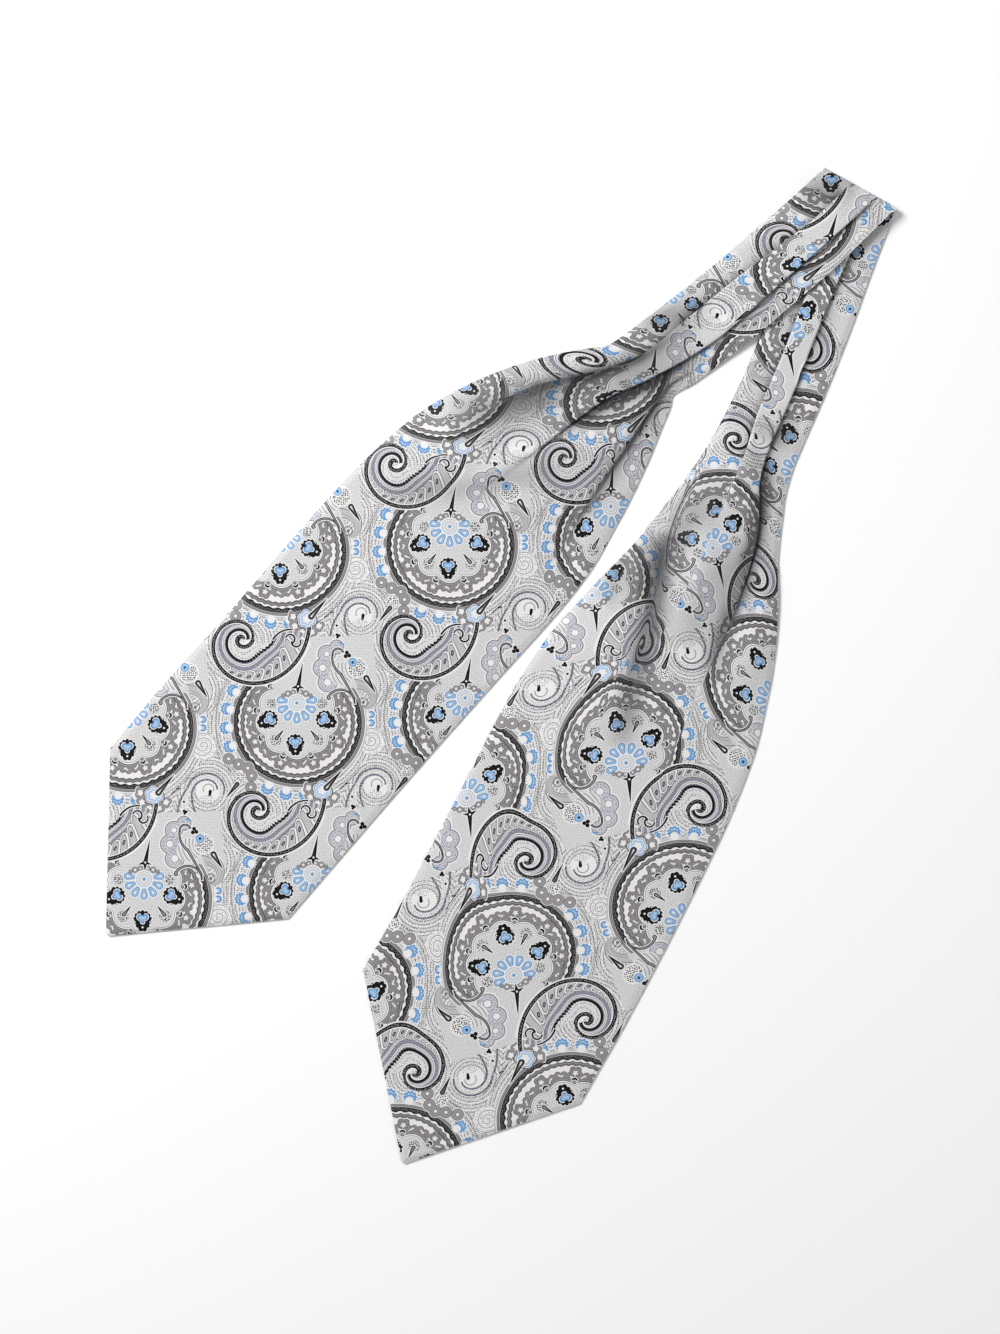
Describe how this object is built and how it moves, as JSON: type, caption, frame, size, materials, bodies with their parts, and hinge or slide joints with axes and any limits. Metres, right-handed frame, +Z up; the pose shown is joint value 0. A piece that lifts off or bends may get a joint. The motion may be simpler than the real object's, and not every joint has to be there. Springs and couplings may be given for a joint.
{
  "type": "silk cravat",
  "caption": "Paisley silk day cravat with a box-pleated neckband and pointed blades, folded at the neck and laid out flat as a V",
  "frame": {"origin": "bottom centre of the cravat's box, on the surface that it lies on", "axes": "+Z up off the surface, +Y towards the fold of the neckband, the two blades point towards -Y, +X towards the blade that lies under the other beside the fold"},
  "size_m": [0.3528, 0.6382, 0.0134],
  "materials": {
    "silk": "soft-sheen silk twill, printed paisley in greys, black, lilac grey and light blue on off-white"
  },
  "bodies": {
    "root": {"left_front": "silk", "right_front": "silk", "left_back": "silk", "right_back": "silk", "neck_turn_outer": "silk", "neck_turn_inner": "silk"}
  },
  "joints": []
}
